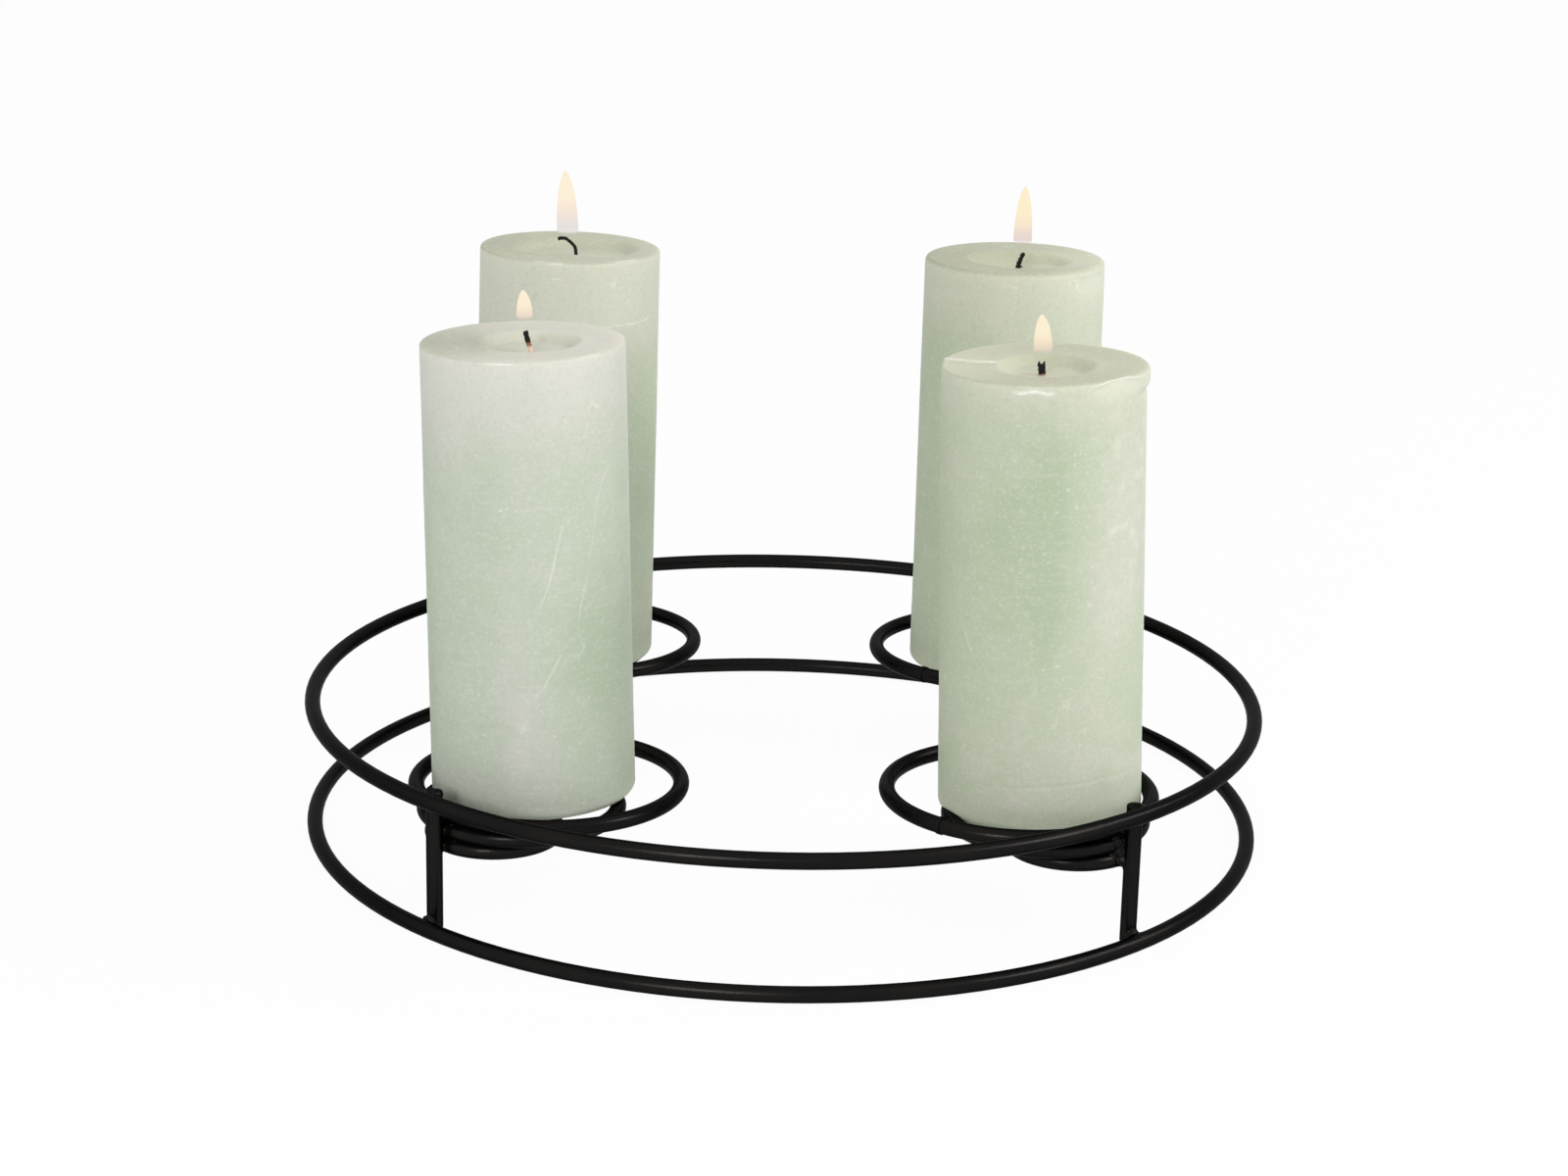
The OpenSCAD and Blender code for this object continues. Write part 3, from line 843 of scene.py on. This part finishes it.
# ---- wicks
# Each wick, in the candle's frame in mm: points of its middle line, (across, height above the rim);
# its radius; whether its end is cut flat (blunt); the height from which it is charred (black); and
# small side pieces of char, each a line with its own radius (extra)
WICKS = {
    "front_left": dict(
        line=[(0.95, 3.1), (1.35, 1.4), (2.02, -1.28), (2.55, -3.3), (2.6, -4.9)],
        r=0.84, blunt=True, black=-0.4, extra=[]),
    "front_right": dict(
        line=[(-0.95, -0.3), (-0.8, -2.4), (-0.66, -4.2), (-0.66, -5.6)],
        r=1.2, blunt=True, black=-3.3,
        extra=[([(-1.75, 0.25), (-1.5, -1.0)], 0.34), ([(-0.02, 0.25), (-0.3, -1.0)], 0.36)]),
    "back_right": dict(
        line=[(2.88, 0.9), (2.35, -0.5), (2.01, -1.3), (1.25, -3.5), (0.97, -5.4), (1.0, -7.4)],
        r=0.80, blunt=False, black=-4.6,
        extra=[([(1.5, -3.4), (2.5, -3.8)], 0.36), ([(1.2, -4.6), (2.0, -4.4)], 0.4)]),
    "back_left": dict(
        line=[(-4.7, 2.7), (-3.3, 3.0), (-1.6, 2.7), (0.55, 1.15), (1.7, -0.4), (2.1, -2.1),
              (2.1, -5.6)],
        r=0.62, blunt=True, black=-3.2, extra=[]),
}
STRAND_PITCH = 4.5
WICK_STEP = 0.13


def tube_distance(x, y, z, line, radius):
    """Distance in mm from a bent round rod that runs through points of (across, height)."""
    return np.hypot(line_distance(x, z, line)[0], y) - radius


def smooth_line(line, parts=8):
    """The same line with rounded corners."""
    line = np.array([line[0]] + list(line) + [line[-1]])
    dense = []
    for a, b, c, d in zip(line, line[1:], line[2:], line[3:]):
        bend, twist = 2 * a - 5 * b + 4 * c - d, 3 * b - a - 3 * c + d
        for t in np.arange(parts) / parts:
            dense.append(tuple(0.5 * (2 * b + (c - a) * t + bend * t ** 2 + twist * t ** 3)))
    return dense + [tuple(line[-1])]


def make_wick(name, spec, look):
    """Three twisted strands, charred and crumbling at the top."""
    line = smooth_line(look["line"])
    top = np.array(look["line"][0])
    cut = top - np.array(look["line"][1])
    cut = cut / np.hypot(*cut)
    seed = spec["seed"] + 70

    def field(x, y, z):
        angle = np.arctan2(y, x - np.interp(z, *zip(*sorted((b, a) for a, b in line))))
        strands = 0.07 * np.cos(3 * (angle + 2 * math.pi * z / STRAND_PITCH))
        d = tube_distance(x, y, z, line, look["r"]) - strands * soft_step(1.0 - z, 0, 1)
        if look["blunt"]:
            d = np.maximum(d, (x - top[0]) * cut[0] + (z - top[1]) * cut[1])
        for part, r in look["extra"]:
            d = smooth_min(d, tube_distance(x, y, z, part, r), 0.35)
        char = soft_step(z, look["black"] - 0.8, look["black"] + 0.6)
        return d + char * (0.16 * space_noise(x, y, z, 0.75, seed)
                           + 0.08 * space_noise(x, y, z, 0.34, seed + 1))

    across, high = zip(*line, *(p for part, _ in look["extra"] for p in part))
    room = look["r"] + 0.7
    points, quads = net(field, (min(across) - room, -room, line[-1][1] - room),
                        (max(across) + room, room, max(high) + room), WICK_STEP)
    obj = mesh_object("wick_char_" + name, (points + np.array([0, 0, spec["height"]])) * MM, quads)
    put_attribute(obj, "black", points[:, 2] - look["black"])
    obj.matrix_world = candle_axes(spec)
    return obj


def wick_material():
    t = Tree("wick")
    grain = t.noise(t.place(), 1500, 4, 0.6)
    start = t.plus(t.attribute("black"), t.swing(grain, 1.2))
    colour = t.mix(t.spread(start, -2.0, -1.0), linear(226, 204, 184), linear(150, 104, 80))
    colour = t.mix(t.spread(start, -0.6, 0.1), colour, linear(22, 19, 18))
    bump = t.add("ShaderNodeBump", Strength=0.7, Distance=0.0002, Height=grain).outputs[0]
    t.surface(Base_Color=colour, Roughness=0.8, Normal=bump, Specular_IOR_Level=0.25)
    return t.owner


wick_look = wick_material()
for corner, spec in CANDLES.items():
    wick = make_wick(corner, spec, WICKS[corner])
    wick.data.materials.append(wick_look)
    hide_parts("wick_" + corner)
    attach(wick, "candle_" + corner)


# ---- flames
# Each flame: its middle line, (across, height above the rim) from the wick to the tip; the height
# where it fades out and over how many mm (soft); its full width; and its colours from the tip down
# to where it fades
CREAM = (254, 240, 213)
FLAMES = {
    "front_left": dict(
        line=[(0.78, 3.9), (0.86, 9.0), (0.8, 13.0), (0.57, 16.9)], fade=7.0, soft=1.6, wide=5.35,
        colours=[CREAM, (249, 232, 209), (238, 219, 199), (229, 211, 198)]),
    "front_right": dict(
        line=[(-0.7, 1.6), (-0.6, 6.5), (-0.58, 11.0), (-0.97, 16.5)], fade=3.3, soft=2.4, wide=6.3,
        colours=[CREAM, (248, 231, 205), (236, 217, 195), (222, 205, 189)]),
    "back_right": dict(
        line=[(2.6, 3.2), (2.45, 8.0), (2.78, 17.0), (2.84, 27.0)], fade=5.4, soft=1.4, wide=6.9,
        colours=[(253, 238, 203), (250, 232, 204), (236, 218, 205), (222, 210, 205)]),
    "back_left": dict(
        line=[(-1.1, 4.6), (-1.25, 8.0), (-1.77, 17.25), (-2.45, 28.8)],
        fade=5.2, soft=0.8, wide=8.1,
        colours=[(253, 239, 214), (246, 229, 214), (232, 224, 220), (228, 224, 222)]),
}
FLAME_COLUMNS = 48
FLAME_STEPS = 72
FLAME_DENSITY = 0.97 * 0.86


def make_flame(name, spec, look):
    """An upright flame: a blunt point above, nearly straight below, and faint round the wick."""
    across, heights = zip(*look["line"])
    curve = np.polyfit(heights, across, 2)
    low, tip, fade = heights[0], heights[-1], look["fade"]
    span = tip - fade
    angle = np.linspace(0, 2 * math.pi, FLAME_COLUMNS, endpoint=False)
    rings = []
    for k in range(FLAME_STEPS):
        down = (k + 0.35) / (FLAME_STEPS - 0.65)
        z = tip - (tip - low) * down ** 1.35
        s = (tip - z) / span
        width = look["wide"] / 2 * (1 - (1 - min(s, 1.0)) ** 2.4) ** 0.65
        if s > 1:
            width *= 1 - 0.6 * soft_step((fade - z) / (fade - low + 1e-6), 0, 1) ** 1.5
        rings.append(np.stack([np.polyval(curve, z) + width * np.cos(angle), width * np.sin(angle),
                               np.full(FLAME_COLUMNS, z)], -1))
    points, quads, triangles = closed_rings(np.array(rings)[::-1])
    points[-1, 2] = tip
    placed = (points + np.array([0, 0, spec["height"]])) * MM
    obj = mesh_object("flame_glow_" + name, placed, quads, triangles)
    put_attribute(obj, "fall", (tip - points[:, 2]) / span)
    put_attribute(obj, "above", points[:, 2] - fade)
    obj.matrix_world = candle_axes(spec)
    return obj


def flame_material(name, look):
    t = Tree("flame_" + name)
    fall = t.attribute("fall")
    first, second, third, fourth = (linear(*c) for c in look["colours"])
    colour = t.mix(t.spread(fall, 0.38, 0.68), first, second)
    colour = t.mix(t.spread(fall, 0.62, 0.84), colour, third)
    colour = t.mix(t.spread(fall, 0.80, 1.0), colour, fourth)
    clear = t.nodes.new("ShaderNodeBsdfTransparent")
    light = t.add("ShaderNodeEmission", Color=colour)
    share = t.times(t.spread(t.attribute("above"), 0.0, look["soft"]), FLAME_DENSITY)
    t.blend_surface(share, clear, light)
    return t.owner


for corner, spec in CANDLES.items():
    flame = make_flame(corner, spec, FLAMES[corner])
    flame.data.materials.append(flame_material(corner, FLAMES[corner]))
    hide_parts("flame_" + corner)
    flame.visible_shadow = False
    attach(flame, "candle_" + corner)


# ---- wire
def wire_material():
    t = Tree("wire")
    here = t.place()
    grain = t.noise(here, 2200, 3, 0.6)
    drift = t.noise(here, 30, 2, 0.5)
    colour = t.mix(t.spread(drift, 0.3, 0.7), linear(28, 27, 27), linear(32, 31, 30))
    rough = t.plus(t.spread(drift, 0.3, 0.7, 0.23, 0.27), t.times(grain, 0.04))
    bump = t.add("ShaderNodeBump", Strength=0.45, Distance=0.00010, Height=grain).outputs[0]
    t.surface(Base_Color=colour, Metallic=0.87, Specular_Tint=(0.02, 0.02, 0.02),
              Roughness=rough, Normal=bump)
    return t.owner


wire_look = wire_material()
for name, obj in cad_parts.items():
    if "ring" in name:
        obj.data.materials.clear()
        obj.data.materials.append(wire_look)

# Weld at each post. A lump is (right, near, height, radius) in mm from the post's middle, with
# near towards the camera. Fillet and reach say how far the weld spreads onto the rings.
WELDS = {
    "front_left": dict(fillet=1.3, reach=1.2, lumps=[
        (-2.4, 1.9, 5.5, 0.9), (-1.4, 2.7, 5.1, 0.7), (-0.4, 3.1, 4.7, 0.6), (-3.2, 1.0, 5.0, 0.7),
        (0.9, 0.4, 49.0, 2.0), (2.2, 0.2, 49.1, 1.0), (-1.3, -1.2, 48.8, 1.9),
        (-2.6, -1.8, 47.6, 1.6), (6.7, 0.1, 32.5, 0.55), (5.7, -0.4, 38.1, 0.5),
        (-1.9, -1.6, 44.6, 1.6)]),
    "front_right": dict(fillet=2.6, reach=4.2, lumps=[
        (1.5, 2.5, 5.5, 0.9), (2.5, 1.7, 5.2, 0.7), (0.4, 3.1, 4.9, 0.6), (1.0, 0.8, 49.1, 1.9),
        (-0.6, 1.5, 48.8, 1.2), (2.2, -0.4, 48.9, 1.2), (-7.4, -0.1, 32.5, 0.55),
        (-3.6, -1.6, 32.3, 0.6), (-5.0, -1.4, 36.6, 2.3), (-4.3, -0.9, 33.0, 2.0),
        (-3.2, -0.3, 30.2, 1.5), (-6.6, -2.2, 35.0, 1.6)]),
    "back_right": dict(fillet=1.6, reach=1.6, lumps=[
        (2.2, -1.8, 6.2, 1.2), (-1.8, 2.2, 6.0, 1.0), (0.8, -1.0, 49.2, 2.0)]),
    "back_left": dict(fillet=1.6, reach=1.6, lumps=[
        (-2.2, -1.8, 6.2, 1.2), (1.8, 2.2, 6.0, 1.0), (-0.8, 1.0, 49.2, 2.0)]),
}
POST_STEP = 0.27


def make_post(name, look):
    """A post with the weld that joins it to the rings, which hides their joints as paint does."""
    turn = math.radians(POST_ANGLES[name])
    large = ring_spec("top_ring")
    out_by = large["r"] - 2 * WIRE_R - POST_GAP
    px, py = out_by * math.cos(turn), out_by * math.sin(turn)
    wires = [ring_spec("bottom_ring"), large]
    wires += [ring_spec(kind + "_ring_" + name) for kind in ("guard", "seat", "lower")]
    half_high = (POST_HIGH - POST_LOW) / 2
    seed = sum(map(ord, name))

    def field(x, y, z):
        out = np.hypot(x - px, y - py) - (WIRE_R - POST_BEVEL)
        end = np.abs(z - POST_LOW - half_high) - (half_high - POST_BEVEL)
        corner = np.hypot(np.maximum(out, 0), np.maximum(end, 0))
        rod = np.minimum(np.maximum(out, end), 0) + corner - POST_BEVEL
        away = np.maximum(rod - look["reach"], 0)
        joined = None
        for w in wires:
            d = np.hypot(np.hypot(x - w["x"], y - w["y"]) - w["r"], z - w["z"]) - WIRE_R
            joined = d if joined is None else smooth_min(joined, d, look["fillet"] * 0.7)
        total = smooth_min(rod, joined - 0.04 + 0.5 * away, look["fillet"])
        rough = np.zeros(x.shape)
        for right, near, up_z, r in look["lumps"]:
            d = np.sqrt((x - px - right) ** 2 + (y - py + near) ** 2 + (z - up_z) ** 2) - r
            total = smooth_min(total, d, 0.6 * min(r, 1.0))
            rough = np.maximum(rough, bell(np.maximum(d, 0), 0, 1.2))
        rough = np.maximum(rough, bell(np.abs(rod - joined), 0, 1.5) * 0.5)
        return total + rough * (0.13 * space_noise(x, y, z, 1.1, seed)
                                + 0.06 * space_noise(x, y, z, 0.5, seed + 1))

    room = WIRE_R + 6.5
    points, quads = net(field, (px - room, py - room, POST_LOW - 2.5),
                        (px + room, py + room, POST_HIGH + 3), POST_STEP)
    return mesh_object("post_weld_" + name, points * MM, quads)


for corner, look in WELDS.items():
    post = make_post(corner, look)
    post.data.materials.append(wire_look)
    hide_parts("post_" + corner)
    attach(post, "frame")


# ---- stage
FLOOR_HALF = 12.0
FLOOR_LEVEL = -0.0001
FLOOR_PAINT = 0.90
FLOOR_GLOW = 0.96
ROOM_LIGHT = 0.52


def floor_material():
    t = Tree("floor")
    paint = t.add("ShaderNodeBsdfDiffuse", Color=(FLOOR_PAINT,) * 3)
    glow = t.add("ShaderNodeEmission", Color=(1, 1, 1))
    t.blend_surface(t.times(t.seen_ray(), FLOOR_GLOW), paint, glow)
    return t.owner


floor_corners = np.array([(-1, -1, 0), (1, -1, 0), (1, 1, 0), (-1, 1, 0)]) * FLOOR_HALF
floor = mesh_object("floor", floor_corners + np.array([0, 0, FLOOR_LEVEL]), [(0, 1, 2, 3)],
                    smooth=False)
floor.data.materials.append(floor_material())

# The room looks white, but gives less light than white would
world = Tree("studio", bpy.data.worlds, "ShaderNodeOutputWorld")
bpy.context.scene.world = world.owner
world.blend_surface(world.seen_ray(),
                    world.add("ShaderNodeBackground", Color=(1, 1, 1), Strength=ROOM_LIGHT),
                    world.add("ShaderNodeBackground", Color=(1, 1, 1), Strength=1.0))


# Each lamp: place, height of the point that it faces, size, watts and colour
LAMPS = {
    "side": ((1.45, 0.20, 1.10), 0.09, (0.26, 0.36), 6.0, (1.0, 0.985, 0.96)),
    "front": ((-0.50, -1.62, 0.70), 0.10, (0.26, 0.36), 10.5, (1.0, 0.99, 0.98)),
    "right": ((1.40, -0.55, 1.15), 0.09, (0.28, 0.36), 9.0, (1.0, 0.985, 0.97)),
}
for name, (place, level, size, power, colour) in LAMPS.items():
    data = bpy.data.lights.new(name, "AREA")
    data.shape = "RECTANGLE"
    data.size, data.size_y = size
    data.energy = power
    data.color = colour
    lamp = bpy.data.objects.new(name, data)
    bpy.context.scene.collection.objects.link(lamp)
    lamp.location = place
    aim = Vector((0, 0, level)) - Vector(place)
    lamp.rotation_euler = aim.to_track_quat("-Z", "Y").to_euler()

bpy.context.scene.view_settings.view_transform = "Standard"
